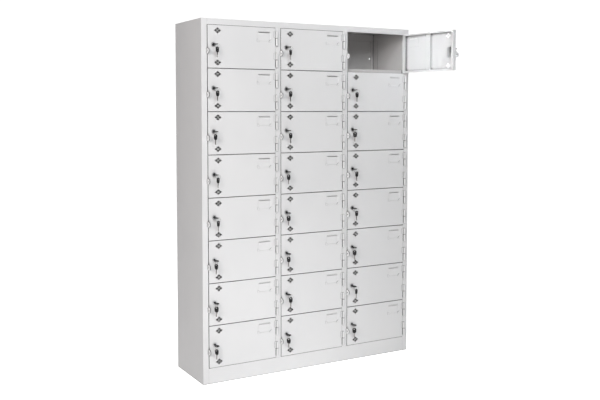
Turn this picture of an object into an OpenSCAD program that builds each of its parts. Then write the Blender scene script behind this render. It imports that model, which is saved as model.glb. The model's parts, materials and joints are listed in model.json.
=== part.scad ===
// Free-standing steel cabinet of small keyed compartments that hold phones.
//
// Millimetres. +Z is up, +Y runs from the doors to the back, and +X runs to the
// right of a person who faces the doors. The origin is on the floor, at the
// centre of the cabinet's footprint.
//
// Columns are counted from 0 at the left, rows from 1 at the top. A cell is the
// front opening of one compartment. Cell coordinates start at the left end of
// its top line, on the front face: x to the right, y to the back, z up.

/* [Cabinet] */
// Overall height above the floor
cabinet_h = 1830; // [1800:10:1900]
// Overall width
cabinet_w = 1260; // [1230:10:1350]
// Overall depth, from the front face to the back
cabinet_d = 350; // [320:10:450]
// Columns of compartments
columns = 3; // [2:1:3]
// Rows of compartments
rows = 8; // [6:1:8]
// Thickness of the folded sheet steel
sheet_t = 1.2; // [1:0.1:1.4]

/* [Front frame] */
// Width of each upright post, seen from the front
post_w = 30; // [30:1:34]
// Depth of the posts, the top rail and the plinth
post_d = 18; // [16:1:18]
// Height of the top rail
rail_h = 30; // [26:1:40]
// Height of the plinth
plinth_h = 80; // [70:5:100]
// Height of the raised front lip of a shelf
shelf_lip_h = 17; // [12:1:18]

/* [Doors] */
// Depth of a door pan
door_d = 20; // [19:0.5:20]
// Gap beside a door at its lock side
door_gap = 3.4; // [2:0.1:4]
// Gap above a door, and again below it
door_seam = 1.9; // [1.2:0.1:2.2]
// Width of the return lip at the lock side of a door
lock_lip_w = 14; // [10:1:14]
// Width of the other return lips of a door
lip_w = 9; // [6:1:10]
// Width of the upright stiffener inside a door
stiffener_w = 41; // [36:1:46]
// Column of the door that stands open
open_column = 2; // [0:1:2]
// Row of the door that stands open
open_row = 1; // [1:1:6]
// Angle at which it stands open
open_angle = 97; // [0:1:110]

/* [Hinges] */
// Outer radius of the rolled knuckles
knuckle_r = 5.2; // [5:0.1:5.5]
// Radius of the hinge pins
pin_r = 2.5; // [2:0.1:3]
// Drop from a row's top line to the top of the upper hinge
upper_hinge_drop = 19; // [16:1:22]
// Drop from a row's top line to the top of the lower hinge
lower_hinge_drop = 130; // [124:1:131]
// Height of a knuckle on a door
door_knuckle_h = 33; // [28:1:34]
// Height of a knuckle on the frame
frame_knuckle_h = 37; // [30:1:37]
// Gap between the two knuckles of a hinge
knuckle_gap = 4; // [3:0.5:4]

/* [Locks and keys] */
// Distance from a door's free edge to its lock
lock_inset = 31; // [30:1:36]
// Drop from a row's top line to the lock
lock_drop = 98; // [95:1:100]
// Radius of the lock's front flange
lock_flange_r = 11; // [10.5:0.5:12]
// Radius of the lock barrel
lock_barrel_r = 9.4; // [9:0.1:9.4]
// Radius of the plug that turns in the barrel
plug_r = 6.4; // [5:0.1:7]
// Reach of the cam from the lock's centre
cam_reach = 48; // [46:1:50]
// Width of the cam
cam_w = 16; // [12:1:18]
// Width of a key's bow
bow_w = 22; // [20:1:26]
// Length of a key's bow
bow_l = 28; // [26:1:32]
// Thickness of a key's bow
bow_t = 4; // [2.6:0.2:4.4]

/* [Padlock ears] */
// Drop from a row's top line to the hole in the ears
ear_drop = 131; // [127:1:135]
// Distance of that hole in front of the front face
ear_hole_reach = 11; // [10:1:12]
// Radius of an ear's round end
ear_r = 13.5; // [12:0.5:14]
// Radius of the hole for the padlock's shackle
ear_hole_r = 4; // [3.5:0.1:4.5]
// Thickness of an ear
ear_t = 2; // [1.5:0.1:2]

/* [Vents and card holder] */
// Distance from a door's free edge to the middle of its vents
vent_inset = 54; // [50:1:70]
// Distance from a row's line to the middle of the nearer vent
vent_drop = 28.5; // [25:0.5:32]
// Overall width of a vent, four small rhombic holes together
vent_w = 38; // [34:1:40]
// Overall height of a vent
vent_h = 30.4; // [28:0.1:32]
// Width of one small rhombic hole
vent_hole_w = 17.5; // [12:0.5:17.5]
// Height of one small rhombic hole
vent_hole_h = 14; // [10:0.1:14]
// Width of the card holder's pressed recess
card_w = 76; // [60:1:80]
// Height of that recess
card_h = 46; // [35:1:50]
// Depth of that recess
card_depth = 1.8; // [1:0.1:2.2]
// Drop from a row's top line to the recess
card_drop = 26; // [24:1:34]
// Distance from the hinge side of the opening to the recess
card_inset = 26; // [24:1:40]
// Radius of the half-round hood over the slot for the card
card_hood_r = 3; // [2.5:0.1:3.5]
// Height of that slot
card_slot_h = 3; // [2:0.1:4]

/* [Hidden] */
$fn = 48;

// seam between pieces of one rigid body that touch when they are assembled
seam = 0.1;
// running clearance between two moving bodies
running = 0.1;
// clearance around a pin that is held fast
pressed = 0.03;
// extra length of a cutter beyond the face that it cuts
over = 1;

opening_w = (cabinet_w - (columns + 1) * post_w) / columns;
cell_h = (cabinet_h - rail_h - plinth_h) / rows;

door_w = opening_w - door_gap - 1;
door_h = cell_h - 2 * door_seam;

hinge_x = opening_w + knuckle_r + 1.1;
hinge_y = -knuckle_r - 0.5;
hinge_drops = [upper_hinge_drop, lower_hinge_drop];
frame_knuckle_drop = door_knuckle_h + knuckle_gap;
knuckle_leaf_t = 1.6;
frame_leaf_w = 11;
foot_x = 5;
foot_w = 6;
door_leaf_lap = 8;
pin_short = 3;
relief_inset = 3;
relief_w = 7;
relief_h = 3.5;
relief_drop = 4;

lock_x = door_gap + lock_inset;
barrel_l = door_d - 1;
cam_y = door_d + 1;
cam_t = 2.5;
plug_proud = 2.4;
flange_t = 1.8;
nut_r = 13.8;
nut_t = 5;
screw_r = 5;
screw_h = 3.5;

card_slope = 2.2;
card_slot_w = 62;
card_hood_t = 1.1;
card_corner_w = 16;
card_corner_t = 1.2;
card_lap = 0.15;

key_back = -9;
key_hole_r = 3;
key_hole_inset = 6.5;
shank_w = 8;
shank_t = 2;
shank_lap = 4;

partition_inset = 8;
shelf_t = 1;
shelf_y = door_d + 2;
shelf_flange_h = 12;
angle_t = 1.5;
angle_back_w = 22;
angle_side_w = 45;
side_flange_w = 18;
rear_flange_h = 43;
bottom_flange_h = 35;
plinth_lip_h = 12;
base_rail_w = 60;
shelf_rear_h = 10;
back_y = cabinet_d - 2 * sheet_t - seam;
wall_hole_inset = 30;
wall_hole_drop = 116;
wall_hole_r = 4.25;

column_letters = ["a", "b", "c"];
cells = [for (column = [0 : columns - 1]) for (row = [1 : rows]) [column, row]];

function cell_name(cell) = str(column_letters[cell[0]], cell[1]);
function opening_left(column) = post_w + column * (opening_w + post_w);
function row_line(row) = cabinet_h - rail_h - (row - 1) * cell_h;
function is_open(cell) = cell[0] == open_column && cell[1] == open_row;
// left and right faces of the walls beside a column
function wall_left(column) =
    column == 0 ? sheet_t : opening_left(column) - post_w + partition_inset + sheet_t;
function wall_right(column) =
    column == columns - 1 ? cabinet_w - sheet_t : opening_left(column + 1) - post_w + partition_inset;

// ---------------------------------------------------------------- places

// From the cabinet's lower front left corner.
module from_corner() {
    translate([-cabinet_w / 2, -cabinet_d / 2, 0]) children();
}

// In the coordinates of one cell.
module in_cell(cell) {
    from_corner() translate([opening_left(cell[0]), 0, row_line(cell[1])]) children();
}

// Turned about the cell's hinge pins, if this is the door that stands open.
module on_door(cell) {
    in_cell(cell)
        translate([hinge_x, hinge_y, 0])
            rotate([0, 0, is_open(cell) ? open_angle : 0])
                translate([-hinge_x, -hinge_y, 0])
                    children();
}

// A cylinder of length l along +Y that starts at y.
module rod_y(r, l, y, sides = 48) {
    translate([0, y, 0]) rotate([-90, 0, 0]) cylinder(r = r, h = l, $fn = sides);
}

// ---------------------------------------------------------------- hinges

// A rolled knuckle, from its top end down, with a leaf towards side -1 or +1.
module knuckle(height, side, leaf_w) {
    translate([hinge_x, hinge_y, -height]) {
        cylinder(r = knuckle_r, h = height);
        translate([side < 0 ? -leaf_w : 0, knuckle_r - knuckle_leaf_t, 0])
            cube([leaf_w, knuckle_leaf_t, height]);
    }
}

module frame_knuckle() {
    difference() {
        union() {
            knuckle(frame_knuckle_h, 1, frame_leaf_w);
            // foot that joins the leaf to the post's front face
            translate([hinge_x + foot_x, hinge_y + knuckle_r - seam, -frame_knuckle_h])
                cube([foot_w, -hinge_y - knuckle_r + seam, frame_knuckle_h]);
        }
        translate([hinge_x, hinge_y, -frame_knuckle_h - over])
            cylinder(r = pin_r + pressed, h = frame_knuckle_h + 2 * over);
    }
}

module frame_hinge_knuckles() {
    color([0.84, 0.85, 0.86])
        for (cell = cells) for (drop = hinge_drops)
            in_cell(cell) translate([0, 0, -drop - frame_knuckle_drop]) frame_knuckle();
}

// Each pin is pressed into its frame knuckle and reaches up into the door knuckle.
module hinge_pins() {
    pin_l = frame_knuckle_h + knuckle_gap + door_knuckle_h - pin_short;
    color([0.6, 0.6, 0.62])
        for (cell = cells) for (drop = hinge_drops)
            in_cell(cell)
                translate([hinge_x, hinge_y, -drop - frame_knuckle_drop - frame_knuckle_h])
                    cylinder(r = pin_r, h = pin_l);
}

// Relief slots in a post's front face below the frame knuckles of a column.
module hinge_reliefs(column) {
    for (row = [1 : rows]) for (drop = hinge_drops)
        in_cell([column, row])
            translate([opening_w + relief_inset, -over,
                       -drop - frame_knuckle_drop - frame_knuckle_h - relief_drop])
                cube([relief_w, sheet_t + 2 * over, relief_h]);
}

// ---------------------------------------------------------------- carcass

// Outer sheet, folded into a closed post in front and flanged at its other edges.
module side_shell() {
    post_top = cabinet_h - sheet_t - seam;
    cube([sheet_t, cabinet_d, cabinet_h]);
    cube([post_w, sheet_t, cabinet_h]);
    translate([post_w - sheet_t, 0, 0]) cube([sheet_t, post_d, post_top]);
    translate([0, post_d - sheet_t, 0]) cube([post_w, sheet_t, post_top]);
    translate([0, cabinet_d - sheet_t, 0]) cube([side_flange_w, sheet_t, cabinet_h]);
}

module left_side_panel() {
    color([0.78, 0.76, 0.75]) from_corner() side_shell();
}

module right_side_panel() {
    color([0.78, 0.76, 0.75])
        difference() {
            from_corner() translate([cabinet_w, 0, 0]) mirror([1, 0, 0]) side_shell();
            hinge_reliefs(columns - 1);
        }
}

// Angle that ties the back panel to a side panel.
module corner_angle() {
    bottom = plinth_h + seam;
    height = cabinet_h - rear_flange_h - 2 * seam - bottom;
    translate([sheet_t + seam, back_y - seam, bottom]) {
        translate([0, -angle_t, 0]) cube([angle_back_w, angle_t, height]);
        translate([0, -angle_side_w, 0]) cube([angle_t, angle_side_w, height]);
    }
}

module back_panel() {
    width = cabinet_w - 2 * (sheet_t + seam);
    color([0.8, 0.8, 0.8]) from_corner() {
        difference() {
            translate([sheet_t + seam, back_y, 0]) cube([width, sheet_t, cabinet_h - sheet_t - seam]);
            for (x = [wall_hole_inset, cabinet_w - wall_hole_inset])
                for (row = [1, rows])
                    translate([x, 0, row_line(row) - wall_hole_drop])
                        rod_y(wall_hole_r, sheet_t + 2 * over, back_y - over);
        }
        corner_angle();
        translate([cabinet_w, 0, 0]) mirror([1, 0, 0]) corner_angle();
    }
}

// Top sheet, folded into the closed top rail in front and turned down behind.
module top_panel() {
    rail_x = post_w + seam;
    rail_w = cabinet_w - 2 * rail_x;
    sheet_x = sheet_t + seam;
    color([0.86, 0.87, 0.88]) from_corner() {
        translate([sheet_x, sheet_t + seam, cabinet_h - sheet_t])
            cube([cabinet_w - 2 * sheet_x, back_y - sheet_t - 2 * seam, sheet_t]);
        translate([rail_x, 0, cabinet_h - sheet_t]) cube([rail_w, post_d, sheet_t]);
        translate([rail_x, 0, cabinet_h - rail_h]) {
            cube([rail_w, sheet_t, rail_h]);
            cube([rail_w, post_d, sheet_t]);
            translate([0, post_d - sheet_t, 0]) cube([rail_w, sheet_t, rail_h]);
        }
        translate([sheet_x, back_y - seam - sheet_t, cabinet_h - rear_flange_h])
            cube([cabinet_w - 2 * sheet_x, sheet_t, rear_flange_h]);
    }
}

// Floor of the lowest compartments, with its edges turned down.
module bottom_panel() {
    x = sheet_t + seam;
    y = post_d + seam;
    width = cabinet_w - 2 * x;
    depth = back_y - seam - y;
    color([0.8, 0.8, 0.8]) from_corner() translate([x, y, plinth_h - bottom_flange_h])
        difference() {
            cube([width, depth, bottom_flange_h]);
            translate([sheet_t, sheet_t, -over])
                cube([width - 2 * sheet_t, depth - 2 * sheet_t, bottom_flange_h - sheet_t + over]);
        }
}

module plinth() {
    x = post_w + seam;
    width = cabinet_w - 2 * x;
    color([0.86, 0.87, 0.88]) from_corner() translate([x, 0, 0]) {
        cube([width, sheet_t, plinth_h]);
        cube([width, post_d, sheet_t]);
        translate([0, 0, plinth_h - sheet_t]) cube([width, post_d, sheet_t]);
        translate([0, post_d - sheet_t, plinth_h - plinth_lip_h]) cube([width, sheet_t, plinth_lip_h]);
    }
}

// Channel that carries the middle of the bottom panel and rests on the floor.
module base_centre_rail() {
    height = plinth_h - sheet_t - seam;
    y = post_d + sheet_t + 2 * seam;
    length = back_y - seam - sheet_t - seam - y;
    color([0.8, 0.8, 0.8]) from_corner() translate([(cabinet_w - base_rail_w) / 2, y, 0]) {
        cube([base_rail_w, length, sheet_t]);
        cube([sheet_t, length, height]);
        translate([0, 0, height - sheet_t]) cube([base_rail_w, length, sheet_t]);
    }
}

// A closed front post with the upright sheet that divides two columns.
module partition(column) {
    post_h = cabinet_h - rail_h - plinth_h;
    difference() {
        from_corner() translate([opening_left(column) - post_w, 0, 0]) {
            translate([0, 0, plinth_h + seam])
                difference() {
                    cube([post_w, post_d, post_h - 2 * seam]);
                    translate([sheet_t, sheet_t, -over])
                        cube([post_w - 2 * sheet_t, post_d - 2 * sheet_t, post_h + 2 * over]);
                }
            translate([partition_inset, post_d - sheet_t, plinth_h + seam])
                cube([sheet_t, 2 * sheet_t, post_h - 2 * seam]);
            translate([partition_inset, post_d + seam, plinth_h + seam])
                cube([sheet_t, back_y - post_d - sheet_t - 3 * seam,
                      cabinet_h - plinth_h - sheet_t - 2 * seam]);
        }
        hinge_reliefs(column - 1);
    }
}

module partitions() {
    color([0.86, 0.87, 0.88]) for (column = [1 : columns - 1]) partition(column);
}

// Shelf with a raised lip in front and behind, and edges turned down at the sides.
module shelf(column) {
    left = wall_left(column) + (column == 0 ? angle_t + 3 * seam : 3 * seam);
    right = wall_right(column) - (column == columns - 1 ? angle_t + 3 * seam : 3 * seam);
    width = right - left;
    depth = back_y - angle_t - 4 * seam - shelf_y;
    translate([left, shelf_y, -shelf_t / 2]) {
        cube([width, depth, shelf_t]);
        cube([width, shelf_t, shelf_lip_h + shelf_t / 2]);
        translate([0, depth - shelf_t, 0]) cube([width, shelf_t, shelf_rear_h]);
        for (x = [0, width - shelf_t])
            translate([x, 0, -shelf_flange_h]) cube([shelf_t, depth, shelf_flange_h + shelf_t]);
    }
}

module shelves() {
    color([0.8, 0.8, 0.8]) from_corner()
        for (column = [0 : columns - 1]) for (row = [2 : rows])
            translate([0, 0, row_line(row)]) shelf(column);
}

// ---------------------------------------------------------------- padlock ears

// Plate across X with a round end in front of the front face, and its hole.
module ear(slanted) {
    rotate([0, 90, 0]) {
        difference() {
            union() {
                translate([0, -ear_hole_reach, 0]) cylinder(r = ear_r, h = ear_t);
                translate([-ear_r, -ear_hole_reach, 0])
                    cube([2 * ear_r, ear_hole_reach - seam, ear_t]);
                // straight slope from the round end up to the root
                if (slanted)
                    linear_extrude(ear_t)
                        polygon([[-ear_r, -ear_hole_reach], [-ear_r - 11, -seam], [0, -seam]]);
            }
            translate([0, -ear_hole_reach, -over]) cylinder(r = ear_hole_r, h = ear_t + 2 * over);
            // the front face ends the plate
            translate([-2 * ear_r, -seam, -over]) cube([4 * ear_r, ear_r, ear_t + 2 * over]);
        }
    }
}

module frame_padlock_ears() {
    color([0.88, 0.89, 0.9])
        for (cell = cells)
            in_cell(cell) translate([-ear_t - 2 * seam, 0, -ear_drop]) ear(false);
}

// ---------------------------------------------------------------- doors

// Four small rhombic holes set as one larger rhombus.
module vent() {
    dx = (vent_w - vent_hole_w) / 2;
    dz = (vent_h - vent_hole_h) / 2;
    for (at = [[dx, 0], [-dx, 0], [0, dz], [0, -dz]])
        translate([at[0], 0, at[1]])
            rotate([90, 0, 0])
                linear_extrude(4 * over, center = true)
                    polygon([[vent_hole_w / 2, 0], [0, vent_hole_h / 2],
                             [-vent_hole_w / 2, 0], [0, -vent_hole_h / 2]]);
}

// Slab centred on the Y axis that starts at y = 0 and narrows by slope on each side.
module tapered_slab(width, height, depth, slope) {
    rotate([-90, 0, 0])
        linear_extrude(depth, scale = [1 - 2 * slope / width, 1 - 2 * slope / height])
            square([width, height], center = true);
}

// A rod of length l along X, centred.
module rod_x(r, l) {
    rotate([0, 90, 0]) cylinder(r = r, h = l, center = true);
}

// In the coordinates of a door's card holder, from the centre of its recess.
module at_card_holder() {
    translate([opening_w - card_inset - card_w / 2, 0, -card_drop - card_h / 2]) children();
}

// Back of the pressed recess, and the hood above it.
module card_holder_body() {
    tapered_slab(card_w + 2, card_h + 2, card_depth + sheet_t, card_slope);
    translate([0, 0, card_h / 2]) rod_x(card_hood_r, card_slot_w + 2 * card_hood_t);
}

// What is cut away: the recess, the inside of the hood and the slot under it.
module card_holder_hollow() {
    tapered_slab(card_w, card_h, card_depth, card_slope);
    translate([-card_w / 2, -card_hood_r - over, -card_h / 2])
        cube([card_w, card_hood_r + over + seam / 2, card_h]);
    translate([0, 0, card_h / 2]) rod_x(card_hood_r - card_hood_t, card_slot_w);
    translate([-card_slot_w / 2, -over, card_h / 2 - card_slot_h])
        cube([card_slot_w, card_depth + sheet_t + 2 * over, card_slot_h]);
}

// Raised corners that hold the card at the foot of the recess.
module card_corners() {
    overlap = 3;
    for (side = [0, 1])
        mirror([side, 0, 0])
            translate([-card_w / 2 - overlap, card_lap, -card_h / 2 - overlap])
                rotate([90, 0, 0])
                    linear_extrude(card_corner_t + card_lap)
                        polygon([[0, 0], [card_corner_w, 0], [0, card_corner_w]]);
}

// Folded pan: outer face, four flanges and the return lips inside them.
module pan_shell() {
    translate([door_gap, 0, -cell_h + door_seam])
        difference() {
            cube([door_w, door_d, door_h]);
            translate([sheet_t, sheet_t, sheet_t])
                cube([door_w - 2 * sheet_t, door_d - 2 * sheet_t, door_h - 2 * sheet_t]);
            translate([lock_lip_w, door_d - sheet_t - over, lip_w])
                cube([door_w - lock_lip_w - lip_w, sheet_t + 2 * over, door_h - 2 * lip_w]);
        }
}

module door_pan() {
    leaf_w = hinge_x - opening_w + door_leaf_lap;
    difference() {
        union() {
            pan_shell();
            // rolled knuckles, with a pad that joins each to the face
            for (drop = hinge_drops) {
                translate([0, 0, -drop]) knuckle(door_knuckle_h, -1, leaf_w);
                translate([hinge_x - leaf_w, hinge_y + knuckle_r - seam, -drop - door_knuckle_h])
                    cube([foot_w, -hinge_y - knuckle_r + 2 * seam, door_knuckle_h]);
            }
            at_card_holder() card_holder_body();
        }
        at_card_holder() card_holder_hollow();
        for (z = [-vent_drop, -cell_h + vent_drop])
            translate([door_gap + vent_inset, 0, z]) vent();
        translate([lock_x, 0, -lock_drop]) rod_y(lock_barrel_r + 0.2, sheet_t + 2 * over, -over);
        for (drop = hinge_drops)
            translate([hinge_x, hinge_y, -drop - door_knuckle_h - over])
                cylinder(r = pin_r + running, h = door_knuckle_h + 2 * over);
    }
    at_card_holder() card_corners();
}

// Upright hat section behind the face.
module door_stiffener() {
    flange_w = 8;
    height = door_h - 2 * (sheet_t + seam);
    crown_w = stiffener_w - 2 * flange_w;
    depth = door_d - 2 * sheet_t - 4;
    translate([opening_w / 2 + 5 - stiffener_w / 2, sheet_t + seam,
               -cell_h + door_seam + sheet_t + seam]) {
        for (x = [0, stiffener_w - flange_w - sheet_t])
            translate([x, 0, 0]) cube([flange_w + sheet_t, sheet_t, height]);
        for (x = [flange_w, flange_w + crown_w - sheet_t])
            translate([x, 0, 0]) cube([sheet_t, depth, height]);
        translate([flange_w, depth - sheet_t, 0]) cube([crown_w, sheet_t, height]);
    }
}

// Fixed barrel of the lock with its flange, and the hexagon nut that holds it.
module lock_body() {
    difference() {
        union() {
            rod_y(lock_flange_r, flange_t, -flange_t - seam);
            rod_y(lock_barrel_r, barrel_l, -1 - seam);
        }
        rod_y(plug_r + running, barrel_l + 2 * over + 2, -2 - over);
    }
    difference() {
        rod_y(nut_r, nut_t, sheet_t + seam, 6);
        rod_y(lock_barrel_r + seam, nut_t + 2 * over, sheet_t + seam - over);
    }
}

module door(cell) {
    color([0.88, 0.89, 0.9]) on_door(cell) {
        door_pan();
        door_stiffener();
        translate([lock_x, 0, -lock_drop]) lock_body();
        translate([door_gap + seam, 0, -ear_drop]) ear(true);
    }
}

// ---------------------------------------------------------------- locks

// Cam behind the door, hanging down when the lock is open.
module cam() {
    rod_y(cam_w / 2, cam_t, cam_y);
    translate([-cam_w / 2, cam_y, -cam_reach + cam_w / 2])
        cube([cam_w, cam_t, cam_reach - cam_w / 2]);
    translate([0, 0, -cam_reach + cam_w / 2]) rod_y(cam_w / 2, cam_t, cam_y);
}

// Flat key in the plug: shank, and a bow with a hole for the ring.
module key() {
    front = -plug_proud - seam;
    bow_end = key_back - bow_l;
    translate([-shank_w / 2, key_back - shank_lap, -shank_t / 2])
        cube([shank_w, front - key_back + shank_lap, shank_t]);
    difference() {
        translate([0, 0, -bow_t / 2]) {
            translate([0, bow_end + bow_w / 2, 0]) cylinder(r = bow_w / 2, h = bow_t);
            translate([-bow_w / 2 + 3, bow_end + bow_w / 2, 0])
                cube([bow_w - 6, bow_l - bow_w / 2, bow_t]);
        }
        translate([0, bow_end + key_hole_inset, -bow_t]) cylinder(r = key_hole_r, h = 2 * bow_t);
        // slot that takes the shank
        translate([-shank_w / 2 - seam, key_back - shank_lap - seam, -shank_t / 2 - seam])
            cube([shank_w + 2 * seam, shank_lap + over + seam, shank_t + 2 * seam]);
    }
}

// Everything that turns with the key.
module lock(cell) {
    color([0.55, 0.56, 0.58]) on_door(cell) translate([lock_x, 0, -lock_drop]) {
        rod_y(plug_r, cam_y - seam + plug_proud, -plug_proud);
        cam();
        rod_y(screw_r, screw_h, cam_y + cam_t + seam, 6);
        key();
    }
}

left_side_panel();
right_side_panel();
back_panel();
top_panel();
bottom_panel();
plinth();
base_centre_rail();
partitions();
shelves();
frame_hinge_knuckles();
hinge_pins();
frame_padlock_ears();
for (cell = cells) {
    door(cell);
    lock(cell);
}
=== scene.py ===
"""Looks of the steel phone locker: paint, locks, keys, studio and camera.

Metres, in the row frame: +Z up, +Y from the doors to the back, origin on the floor.
"""
import json
import math

import bmesh
import bpy
from mathutils import Matrix, Vector

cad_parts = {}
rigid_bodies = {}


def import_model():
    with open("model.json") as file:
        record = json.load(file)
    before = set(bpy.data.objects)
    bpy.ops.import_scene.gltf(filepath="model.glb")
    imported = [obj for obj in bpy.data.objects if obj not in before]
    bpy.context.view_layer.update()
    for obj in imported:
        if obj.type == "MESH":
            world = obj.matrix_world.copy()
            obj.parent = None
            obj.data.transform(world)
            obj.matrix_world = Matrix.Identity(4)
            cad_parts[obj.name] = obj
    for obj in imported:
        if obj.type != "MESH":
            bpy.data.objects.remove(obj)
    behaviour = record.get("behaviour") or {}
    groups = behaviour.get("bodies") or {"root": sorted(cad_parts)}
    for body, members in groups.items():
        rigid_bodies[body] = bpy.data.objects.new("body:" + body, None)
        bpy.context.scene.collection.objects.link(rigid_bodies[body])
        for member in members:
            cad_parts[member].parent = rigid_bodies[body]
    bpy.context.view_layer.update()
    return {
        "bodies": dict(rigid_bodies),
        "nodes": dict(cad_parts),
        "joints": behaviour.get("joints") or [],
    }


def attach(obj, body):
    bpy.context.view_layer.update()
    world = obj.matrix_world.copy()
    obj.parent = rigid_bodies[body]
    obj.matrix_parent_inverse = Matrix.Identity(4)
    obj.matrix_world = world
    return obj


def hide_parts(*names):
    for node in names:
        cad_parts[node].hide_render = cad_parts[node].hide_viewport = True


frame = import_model()

MM = 0.001

# Camera: place, focal length, upright shift in picture widths, and how far it looks down and to the right
CAMERA_PLACE = (-2.2058, -3.9484, 1.3796)
LENS_MM = 49.443
SENSOR_MM = 36
SHIFT = -0.075
LOOK_DOWN_DEG = 3.145
LOOK_RIGHT_DEG = 29.462

# Half the width of the studio floor
FLOOR_HALF = 40
# Light that the white studio floor gives off by itself
FLOOR_GLOW = 0.16
# Further light that it gives off, towards the camera only
FLOOR_VEIL = 0.85

JOINTS = {joint["name"]: joint for joint in frame["joints"]}
CELLS = sorted(name[len("door_"):] for name in frame["bodies"] if name.startswith("door_"))

# Outer faces of the cabinet without its doors, depth of its posts, and the outer part of a sheet's thickness
CABINET_SIDE = 630 * MM
CABINET_FRONT = -175 * MM
CABINET_BACK = 175 * MM
CABINET_TOP = 1830 * MM
POST_D = 18.5 * MM
SKIN = 1 * MM

# Lock and key, in lock coordinates: +Y into the door along the lock's axis, from the front face.
PLUG_R = 6.4 * MM
PLUG_FRONT = -2.4 * MM
CAM_BACK = 23.5 * MM
CAM_T = 2.5 * MM
CAM_W = 16 * MM
CAM_REACH = 48 * MM
BARREL_REACH = 14.6 * MM
SHOULDER = -9 * MM
BOW_L = 28 * MM
BOW_W = 22 * MM
BOW_T = 3.8 * MM
BLADE_L = 24 * MM
BLADE_W = 7.6 * MM
BLADE_T = 1.9 * MM
KEY_HOLE = -21.5 * MM
KEY_HOLE_R = 3.0 * MM
RING_R = 12.5 * MM
WIRE_R = 0.45 * MM
# Where a door's padlock ear begins: left of this, and in front of this
EAR_SIDE = -26 * MM
EAR_FOOT = -0.5 * MM
# Share of a face's normal that points into the cabinet, above which the face counts as one inside the pan
FACES_INWARDS = 0.7
# Direction of a ring through the bow's hole: its parts sideways and upwards, and outwards from the door
RING_SLANT = 0.62
RING_LEAN = 0.48

# How far each spare key is turned about the vertical, in degrees from facing the front, rows from the top.
# Chosen so that its bow looks about as wide as the photo shows it.
SPARE_TURNS = {
    "a": (27, 23, -69, 30, 32, -68, -43, -63),
    "b": (28, 15, 16, -70, -54, -61, 3, -56),
    "c": (50, 12, -53, 12, 14, -56, 27, -45),
}
# Keys whose ring hangs over the left front corner of the bow, not over the right one
LEFT_HOOKED = ("a3", "a6", "a7", "a8", "b4", "b5", "b6", "b8", "c3", "c6", "c8")


# ---------------------------------------------------------------- materials

def new_material(name):
    """An empty node material with a Principled shader: (material, tree, shader)."""
    material = bpy.data.materials.new(name)
    material.use_nodes = True
    tree = material.node_tree
    shader = tree.nodes["Principled BSDF"]
    return material, tree, shader


def position(tree, stretch=(1, 1, 1)):
    """Object coordinates, scaled by stretch."""
    coords = tree.nodes.new("ShaderNodeTexCoord")
    mapping = tree.nodes.new("ShaderNodeMapping")
    mapping.inputs["Scale"].default_value = stretch
    tree.links.new(coords.outputs["Object"], mapping.inputs["Vector"])
    return mapping.outputs["Vector"]


def noise(tree, vector, grain, detail=3.0, roughness=0.5):
    """Noise whose features are about grain metres across."""
    node = tree.nodes.new("ShaderNodeTexNoise")
    node.inputs["Scale"].default_value = 1 / grain
    node.inputs["Detail"].default_value = detail
    node.inputs["Roughness"].default_value = roughness
    tree.links.new(vector, node.inputs["Vector"])
    return node.outputs["Fac"]


def ramp(tree, value, low, high, start=0.3, end=0.7):
    """A colour between low and high as value goes from start to end."""
    node = tree.nodes.new("ShaderNodeValToRGB")
    first, last = node.color_ramp.elements
    first.position, last.position = start, end
    first.color, last.color = (*low, 1), (*high, 1)
    tree.links.new(value, node.inputs["Fac"])
    return node.outputs["Color"]


def spread(tree, value, low, high):
    """Value from 0 to 1 turned into low to high."""
    node = tree.nodes.new("ShaderNodeMapRange")
    node.inputs["To Min"].default_value = low
    node.inputs["To Max"].default_value = high
    tree.links.new(value, node.inputs["Value"])
    return node.outputs["Result"]


def bump(tree, height, depth, strength=1.0, under=None):
    """Bump of the given depth in metres, on top of another bump."""
    node = tree.nodes.new("ShaderNodeBump")
    node.inputs["Strength"].default_value = strength
    node.inputs["Distance"].default_value = depth
    tree.links.new(height, node.inputs["Height"])
    if under is not None:
        tree.links.new(under, node.inputs["Normal"])
    return node.outputs["Normal"]


def crevice_shade(tree, reach):
    """Share for the painted shade: 0 deep in gaps and corners narrower than reach, 1 on open faces."""
    hidden, bare = 0.3, 0.85
    node = tree.nodes.new("ShaderNodeAmbientOcclusion")
    node.samples = 8
    node.inputs["Distance"].default_value = reach
    open_part = tree.nodes.new("ShaderNodeMapRange")
    open_part.inputs["From Min"].default_value = hidden
    open_part.inputs["From Max"].default_value = bare
    tree.links.new(node.outputs["AO"], open_part.inputs["Value"])
    return open_part.outputs["Result"]


def mix_colour(tree, share, first, second):
    """Colour socket second where share is 1, and the fixed colour first where it is 0."""
    node = tree.nodes.new("ShaderNodeMixRGB")
    node.inputs["Color1"].default_value = (*first, 1)
    tree.links.new(share, node.inputs["Fac"])
    tree.links.new(second, node.inputs["Color2"])
    return node.outputs["Color"]


def paint_material(name, low, high, reach=9 * MM):
    """Powder coat on thin sheet: orange peel, slow waves, faint tones, and painted shade that darkens gaps
    and corners up to reach.
    """
    material, tree, shader = new_material(name)
    place = position(tree)
    tone = noise(tree, place, 0.35, detail=4)
    tones = ramp(tree, tone, low, high)
    # painted shade: the colour goes to near black in gaps and inner corners, where shade falls
    tree.links.new(mix_colour(tree, crevice_shade(tree, reach), PAINTED_SHADE, tones), shader.inputs["Base Color"])
    gloss = noise(tree, place, 0.02, detail=5)
    tree.links.new(spread(tree, gloss, 0.36, 0.5), shader.inputs["Roughness"])
    waves = bump(tree, noise(tree, place, 0.16, detail=1), 0.0012, strength=0.35)
    peel = bump(tree, noise(tree, place, 0.0016, detail=1), 0.00008, strength=0.5, under=waves)
    tree.links.new(peel, shader.inputs["Normal"])
    return material


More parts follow.
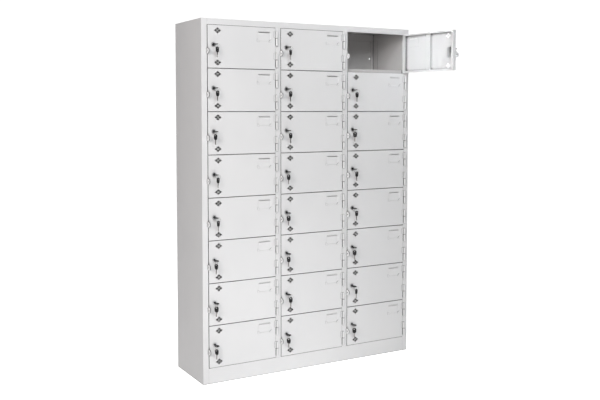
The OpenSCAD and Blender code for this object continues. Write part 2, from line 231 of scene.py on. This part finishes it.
def metal_material(name, low, high, rough, grain, stretch=(1, 1, 1), depth=0.00003):
    """Plated or turned metal with fine marks along one direction."""
    material, tree, shader = new_material(name)
    shader.inputs["Metallic"].default_value = 1
    place = position(tree, stretch)
    marks = noise(tree, place, grain, detail=4)
    tree.links.new(ramp(tree, marks, low, high), shader.inputs["Base Color"])
    tree.links.new(spread(tree, marks, *rough), shader.inputs["Roughness"])
    tree.links.new(bump(tree, marks, depth), shader.inputs["Normal"])
    return material


def plastic_material():
    """Black moulded plastic with a fine texture and greyer, rubbed patches."""
    material, tree, shader = new_material("key_plastic")
    place = position(tree)
    rubbed = noise(tree, place, 0.006, detail=5)
    tones = ramp(tree, rubbed, (0.005, 0.005, 0.006), (0.016, 0.016, 0.018))
    tree.links.new(tones, shader.inputs["Base Color"])
    tree.links.new(spread(tree, rubbed, 0.45, 0.65), shader.inputs["Roughness"])
    tree.links.new(bump(tree, noise(tree, place, 0.0005, detail=1), 0.00003), shader.inputs["Normal"])
    return material


# Near black colour of the painted shade in gaps and corners
PAINTED_SHADE = (0.03, 0.03, 0.03)
GREY_TONES = (0.765, 0.77, 0.775), (0.80, 0.803, 0.806)

PAINT = paint_material("grey_paint", *GREY_TONES)
# A lighter copy of the grey paint on the frame's padlock ears: painted highlight
EARS_LIT_PAINT = paint_material("ears_painted_highlight", (0.90, 0.90, 0.90), (0.93, 0.93, 0.93))
# A darker copy of the grey paint inside the compartments: painted shade
SHADED_INSIDE_PAINT = paint_material("inside_paint_painted_shade", (0.59, 0.58, 0.575), (0.63, 0.62, 0.615))
# The grey paint with painted shade reaching 24 mm, inside the door pans and on the doors' padlock ears
PAN_DEEP_SHADE_PAINT = paint_material("pan_deep_painted_shade", *GREY_TONES, reach=24 * MM)
DARK_CHROME = metal_material("dark_chrome", (0.07, 0.072, 0.078), (0.15, 0.153, 0.16), (0.12, 0.3), 0.003)
LOCK_METAL = metal_material("lock_metal", (0.60, 0.61, 0.62), (0.76, 0.77, 0.78), (0.3, 0.5), 0.003)
KEY_METAL = metal_material(
    "key_metal", (0.34, 0.33, 0.31), (0.50, 0.49, 0.47), (0.22, 0.4), 0.0008, (1, 6, 1))
PIN_STEEL = metal_material("pin_steel", (0.36, 0.36, 0.37), (0.55, 0.55, 0.56), (0.3, 0.5), 0.0012, (6, 6, 1))
KEY_PLASTIC = plastic_material()


# ---------------------------------------------------------------- mesh tools

def add_object(name, mesh, matrix, materials, body):
    """A piece with this mesh at matrix, riding on a body. Meshes are shared between pieces."""
    piece = bpy.data.objects.new(name, mesh)
    bpy.context.scene.collection.objects.link(piece)
    piece.matrix_world = matrix
    if not mesh.materials:
        for material in materials:
            mesh.materials.append(material)
    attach(piece, body)
    return piece


def curve_mesh(curve):
    """A mesh made from curve data, which is then removed."""
    carrier = bpy.data.objects.new("curve_carrier", curve)
    bpy.context.scene.collection.objects.link(carrier)
    bpy.context.view_layer.update()
    mesh = bpy.data.meshes.new_from_object(carrier.evaluated_get(bpy.context.evaluated_depsgraph_get()))
    bpy.data.objects.remove(carrier)
    bpy.data.curves.remove(curve)
    return mesh


def plate(outlines, thickness, edge):
    """A flat plate across Z with rounded edges. The first outline is its rim, the others are its holes."""
    curve = bpy.data.curves.new("plate", "CURVE")
    curve.dimensions = "2D"
    curve.fill_mode = "BOTH"
    curve.extrude = thickness / 2 - edge
    curve.bevel_depth = edge
    curve.bevel_resolution = 2
    curve.offset = -edge
    for outline in outlines:
        spline = curve.splines.new("POLY")
        spline.points.add(len(outline) - 1)
        for point, (x, y) in zip(spline.points, outline):
            point.co = (x, y, 0, 1)
        spline.use_cyclic_u = True
    return curve_mesh(curve)


def circle(x, y, r, sides=32):
    """Points of a circle."""
    steps = (2 * math.pi * i / sides for i in range(sides))
    return [(x + r * math.cos(a), y + r * math.sin(a)) for a in steps]


def join(parts):
    """One mesh from (mesh, matrix, material index) parts."""
    result = bmesh.new()
    for mesh, matrix, index in parts:
        part = bmesh.new()
        part.from_mesh(mesh)
        bmesh.ops.remove_doubles(part, verts=part.verts, dist=1e-6)
        bmesh.ops.transform(part, matrix=matrix, verts=part.verts)
        for face in part.faces:
            face.material_index = index
        moved = bpy.data.meshes.new("part")
        part.to_mesh(moved)
        part.free()
        result.from_mesh(moved)
        bpy.data.meshes.remove(moved)
    mesh = bpy.data.meshes.new("joined")
    result.to_mesh(mesh)
    result.free()
    return mesh


def smooth(mesh, angle=35):
    """Smooth shading, with edges sharper than angle kept crisp."""
    mesh.shade_smooth()
    mesh.set_sharp_from_angle(angle=math.radians(angle))
    return mesh


def turned(profile, sides=48):
    """A solid turned about Y from (radius, y) points, first and last on the axis."""
    shape = bmesh.new()
    verts = [shape.verts.new((r, y, 0)) for r, y in profile]
    edges = [shape.edges.new(pair) for pair in zip(verts, verts[1:])]
    bmesh.ops.spin(shape, geom=verts + edges, cent=(0, 0, 0), axis=(0, 1, 0),
                   angle=2 * math.pi, steps=sides, use_duplicate=False)
    bmesh.ops.remove_doubles(shape, verts=shape.verts, dist=1e-6)
    bmesh.ops.recalc_face_normals(shape, faces=shape.faces)
    mesh = bpy.data.meshes.new("turned")
    shape.to_mesh(mesh)
    shape.free()
    return mesh


# ---------------------------------------------------------------- keys and locks

def bow_outline(sides=64):
    """The moulded head of a key: a rounded rectangle, a little narrower towards the blade."""
    roundness, swell, pace = 0.62, 0.07, 1.73
    points = []
    for i in range(sides):
        a = 2 * math.pi * i / sides
        along = math.copysign(abs(math.sin(a)) ** roundness, math.sin(a))
        across = math.copysign(abs(math.cos(a)) ** roundness, math.cos(a))
        width = BOW_W / 2 * (1 - swell + swell * math.cos(pace * (along + 0.5)))
        points.append((across * width, -BOW_L / 2 + along * BOW_L / 2))
    return points


def blade_outline():
    """The blade: a shank, then cuts along one side, and a pointed end."""
    half = BLADE_W / 2
    cuts = (1.1, 2.3, 1.5, 2.8, 1.9)
    shank = 6 * MM
    pitch = 3.1 * MM
    points = [(-half, -4 * MM), (half, -4 * MM), (half, shank)]
    for i, cut in enumerate(cuts):
        start = shank + pitch * (i + 0.3)
        points += [(half - cut * MM, start), (half - cut * MM, start + pitch * 0.35)]
        points.append((half - 0.5 * MM, start + pitch * 0.65))
    points += [(0.4 * MM, BLADE_L), (-0.6 * MM, BLADE_L), (-half, BLADE_L - 3 * MM)]
    return points


def key_mesh():
    """A key across Z with its shoulder at the origin: blade towards +Y, bow towards -Y."""
    bow = plate([bow_outline(), circle(0, KEY_HOLE, KEY_HOLE_R)], BOW_T, 0.7 * MM)
    narrow, short, middle = 0.62, 0.46, -0.36 * BOW_L
    raised = [(x * narrow, (y + BOW_L / 2) * short + middle) for x, y in bow_outline()]
    grip = plate([raised], BOW_T + 0.8 * MM, 0.35 * MM)
    blade = plate([blade_outline()], BLADE_T, 0.2 * MM)
    rest = Matrix.Identity(4)
    return smooth(join([(bow, rest, 0), (grip, rest, 0), (blade, rest, 1)]), 50)


def ring_mesh():
    """A split ring of two turns in the YZ plane, with its centre at the origin."""
    curve = bpy.data.curves.new("ring", "CURVE")
    curve.dimensions = "3D"
    curve.bevel_depth = WIRE_R
    curve.bevel_resolution = 3
    curve.use_fill_caps = True
    turns, steps = 2, 40
    spline = curve.splines.new("POLY")
    spline.points.add(turns * steps)
    for i, point in enumerate(spline.points):
        a = 2 * math.pi * i / steps
        side = (i / (turns * steps) - 0.5) * turns * 2.1 * WIRE_R
        point.co = (side, RING_R * math.cos(a), RING_R * math.sin(a), 1)
    return smooth(curve_mesh(curve), 60)


def lock_mesh():
    """Plug, cam and cam screw, in lock coordinates, with the cam hanging down."""
    r, front, back = PLUG_R, PLUG_FRONT, CAM_BACK - CAM_T - 0.1 * MM
    plug = turned([(0, front + 0.9 * MM), (r * 0.62, front + 0.9 * MM), (r * 0.7, front + 0.1 * MM),
                   (r * 0.74, front), (r * 0.92, front), (r * 0.985, front + 0.2 * MM),
                   (r, front + 0.5 * MM), (r, back - 0.4 * MM), (r - 0.4 * MM, back), (0, back)])
    half, reach, taper, steps = CAM_W / 2, CAM_REACH - CAM_W / 2, 0.86, 16
    arc = [math.pi * i / steps for i in range(steps + 1)]
    rim = [(half * math.cos(a), half * math.sin(a)) for a in arc]
    rim += [(-half * math.cos(a) * taper, -reach - half * math.sin(a)) for a in arc]
    cam = plate([rim, circle(0, -reach, 2.2 * MM)], CAM_T, 0.3 * MM)
    screw = turned([(0, 0), (4.4 * MM, 0), (5 * MM, 0.5 * MM), (5 * MM, 2.6 * MM), (4.2 * MM, 3.5 * MM),
                    (2 * MM, 3.5 * MM), (1.6 * MM, 2.9 * MM), (0, 2.9 * MM)], sides=6)
    stand = Matrix.Translation((0, CAM_BACK - CAM_T / 2, 0)) @ Matrix.Rotation(math.pi / 2, 4, "X")
    tail = Matrix.Translation((0, CAM_BACK + 0.1 * MM, 0))
    rest = Matrix.Identity(4)
    return smooth(join([(plug, rest, 0), (cam, stand, 1), (screw, tail, 1)]), 32)


def lock_place(cell):
    """Lock coordinates of a cell's lock at rest, as a matrix."""
    joint = JOINTS[f"lock_{cell}_turn"]
    inward = Vector(joint["axis"]).normalized()
    up = Vector((0, 0, 1))
    across = inward.cross(up)
    turn = Matrix((across, inward, up)).transposed()
    return Matrix.Translation(joint["pos_m"]) @ turn.to_4x4()


def hang_ring(cell):
    """Where a key's ring hangs: (its place, the point that a spare key hangs from).

    The ring hangs in an upright plane and slants through the bow's hole, so it clears the bow with the key
    flat and with the key upright.
    """
    side = -1 if cell in LEFT_HOOKED else 1
    down = Vector((0, 0, -1))
    through = Vector((side * RING_SLANT, -RING_LEAN, RING_SLANT)).normalized()
    away = (down - through * down.dot(through)).normalized()
    centre = Vector((0, SHOULDER + KEY_HOLE, 0)) + away * RING_R
    turn = Matrix((through.cross(away), away, -through)).transposed()
    return Matrix.Translation(centre) @ turn.to_4x4(), centre + down * RING_R


def add_locks_and_keys():
    key, ring, lock = key_mesh(), ring_mesh(), lock_mesh()
    shoulder = Matrix.Translation((0, SHOULDER, 0))
    # from lying across Z with the blade towards +Y to hanging with the blade down
    down = Matrix.Rotation(-math.pi / 2, 4, "X") @ Matrix.Translation((0, -KEY_HOLE - KEY_HOLE_R + WIRE_R, 0))
    for cell in CELLS:
        place = lock_place(cell)
        plated = [DARK_CHROME, LOCK_METAL]
        core = add_object(f"lock_core_{cell}", lock, place, plated, f"lock_{cell}")
        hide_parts(f"lock_{cell}")
        materials = [KEY_PLASTIC, KEY_METAL]
        add_object(f"key_{cell}", key, place @ shoulder, materials, f"lock_{cell}")
        ring_place, eye = hang_ring(cell)
        add_object(f"key_ring_{cell}", ring, place @ ring_place, [KEY_METAL], f"door_{cell}")
        turn = math.radians(SPARE_TURNS[cell[0]][int(cell[1:]) - 1])
        hang = Matrix.Translation(eye) @ Matrix.Rotation(turn, 4, "Z") @ down
        add_object(f"spare_key_{cell}", key, place @ hang, materials, f"door_{cell}")


# ---------------------------------------------------------------- sheet metal

def soften(node, width=0.45 * MM):
    """Rounds a CAD node's folds and cut edges a little, as bent and coated sheet has them."""
    weld = node.modifiers.new("weld", "WELD")
    weld.merge_threshold = 1e-6
    flat = node.modifiers.new("flat", "DECIMATE")
    flat.decimate_type = "DISSOLVE"
    flat.angle_limit = math.radians(1)
    flat.delimit = {"MATERIAL"}
    bevel = node.modifiers.new("bevel", "BEVEL")
    bevel.width = width
    bevel.segments = 2
    bevel.limit_method = "ANGLE"
    bevel.angle_limit = math.radians(35)
    bevel.harden_normals = False
    normals = node.modifiers.new("normals", "WEIGHTED_NORMAL")
    normals.keep_sharp = False


def paint_node(node, materials):
    node.data.materials.clear()
    for material in materials:
        node.data.materials.append(material)


def coat_door(node, cell):
    """Lock metal on the fixed barrel, its flange and nut, and paint whose painted shade reaches further on
    the ear and inside the pan.
    """
    to_lock = lock_place(cell).inverted()
    turn = to_lock.to_3x3()
    places = [to_lock @ vertex.co for vertex in node.data.vertices]
    for polygon in node.data.polygons:
        corners = [places[v] for v in polygon.vertices]
        on_lock = all(math.hypot(c.x, c.z) < BARREL_REACH for c in corners)
        on_ear = all(c.x < EAR_SIDE and c.y < EAR_FOOT for c in corners)
        inside = (turn @ polygon.normal).y > FACES_INWARDS and all(c.y > SKIN for c in corners)
        if on_lock:
            polygon.material_index = 1
        # the ear and the inside of the pan get paint with further-reaching painted shade
        elif on_ear or inside:
            polygon.material_index = 2


def shade_inside(node):
    """Gives the faces inside the cabinet, behind its posts, a darker copy of the grey paint: painted shade
    inside the compartments.
    """
    for polygon in node.data.polygons:
        x, y, z = polygon.center
        behind = y > CABINET_FRONT + POST_D
        within = abs(x) < CABINET_SIDE - SKIN and y < CABINET_BACK - SKIN and z < CABINET_TOP - SKIN
        polygon.material_index = int(behind and within)


def dress_cad_nodes():
    for name, node in frame["nodes"].items():
        if name.startswith("lock_"):
            continue
        if name.startswith("door_"):
            paint_node(node, [PAINT, LOCK_METAL, PAN_DEEP_SHADE_PAINT])
            coat_door(node, name[len("door_"):])
        elif name == "hinge_pins":
            paint_node(node, [PIN_STEEL])
        elif name == "frame_padlock_ears":
            paint_node(node, [EARS_LIT_PAINT])
        else:
            paint_node(node, [PAINT, SHADED_INSIDE_PAINT])
            shade_inside(node)
        soften(node)


# ---------------------------------------------------------------- studio

def add_floor():
    mesh = bpy.data.meshes.new("studio_floor")
    shape = bmesh.new()
    bmesh.ops.create_grid(shape, x_segments=1, y_segments=1, size=FLOOR_HALF)
    shape.to_mesh(mesh)
    shape.free()
    floor = bpy.data.objects.new("studio_floor", mesh)
    bpy.context.scene.collection.objects.link(floor)
    material, tree, shader = new_material("studio_floor")
    shader.inputs["Base Color"].default_value = (0.93, 0.93, 0.93, 1)
    shader.inputs["Roughness"].default_value = 0.9
    shader.inputs["Emission Color"].default_value = (1, 1, 1, 1)
    shader.inputs["Emission Strength"].default_value = FLOOR_GLOW
    # the camera sees the floor as white as the backdrop, so no horizon shows
    veil = tree.nodes.new("ShaderNodeEmission")
    path = tree.nodes.new("ShaderNodeLightPath")
    both = tree.nodes.new("ShaderNodeAddShader")
    tree.links.new(spread(tree, path.outputs["Is Camera Ray"], 0, FLOOR_VEIL), veil.inputs["Strength"])
    tree.links.new(shader.outputs["BSDF"], both.inputs[0])
    tree.links.new(veil.outputs["Emission"], both.inputs[1])
    tree.links.new(both.outputs["Shader"], tree.nodes["Material Output"].inputs["Surface"])
    mesh.materials.append(material)


def add_area_light(name, place, target, size, watts, spread_deg=180, tint=(1, 1, 1)):
    data = bpy.data.lights.new(name, "AREA")
    data.color = tint
    data.size = size
    data.energy = watts
    data.spread = math.radians(spread_deg)
    light = bpy.data.objects.new(name, data)
    bpy.context.scene.collection.objects.link(light)
    light.location = place
    light.rotation_euler = (Vector(target) - Vector(place)).to_track_quat("-Z", "Y").to_euler()


def add_world(strength, backdrop):
    """Even white surroundings, and a white backdrop behind the object."""
    world = bpy.data.worlds.new("studio")
    bpy.context.scene.world = world
    world.use_nodes = True
    tree = world.node_tree
    even = tree.nodes["Background"]
    even.inputs["Color"].default_value = (1, 0.99, 0.98, 1)
    even.inputs["Strength"].default_value = strength
    white = tree.nodes.new("ShaderNodeBackground")
    white.inputs["Color"].default_value = (1, 1, 1, 1)
    white.inputs["Strength"].default_value = backdrop
    path = tree.nodes.new("ShaderNodeLightPath")
    choose = tree.nodes.new("ShaderNodeMixShader")
    tree.links.new(path.outputs["Is Camera Ray"], choose.inputs["Fac"])
    tree.links.new(even.outputs["Background"], choose.inputs[1])
    tree.links.new(white.outputs["Background"], choose.inputs[2])
    tree.links.new(choose.outputs["Shader"], tree.nodes["World Output"].inputs["Surface"])


def add_camera():
    """A standing person's view from the front left, looking a little down."""
    data = bpy.data.cameras.new("camera")
    data.sensor_width = SENSOR_MM
    data.lens = LENS_MM
    data.shift_y = SHIFT
    data.clip_end = 200
    camera = bpy.data.objects.new("camera", data)
    bpy.context.scene.collection.objects.link(camera)
    camera.location = CAMERA_PLACE
    camera.rotation_euler = (math.radians(90 - LOOK_DOWN_DEG), 0, math.radians(-LOOK_RIGHT_DEG))
    bpy.context.scene.camera = camera


add_camera()
add_world(strength=0.10, backdrop=1.1)
add_floor()
add_area_light("key_light", (-0.9, -3.6, 3.05), (-0.1, 0, 1.75), 1.2, 53, tint=(0.945, 0.98, 1))
add_area_light("left_light", (-3.0, -2.6, 2.3), (-0.4, 0, 1.2), 1.4, 70, tint=(1, 0.945, 0.93))
add_area_light("low_light", (-0.3, -1.5, 0.08), (-0.05, 0, 0), 0.8, 3, 120)
add_area_light("door_light", (-3.2, -2.3, 3.4), (0.66, -0.4, 1.66), 0.4, 0.72, 16, tint=(0.93, 0.98, 1))
add_area_light("back_light", (1.8, 3.2, 2.4), (0.1, 0.175, 0.95), 1.4, 45)
dress_cad_nodes()
add_locks_and_keys()
bpy.context.scene.view_settings.view_transform = "Standard"
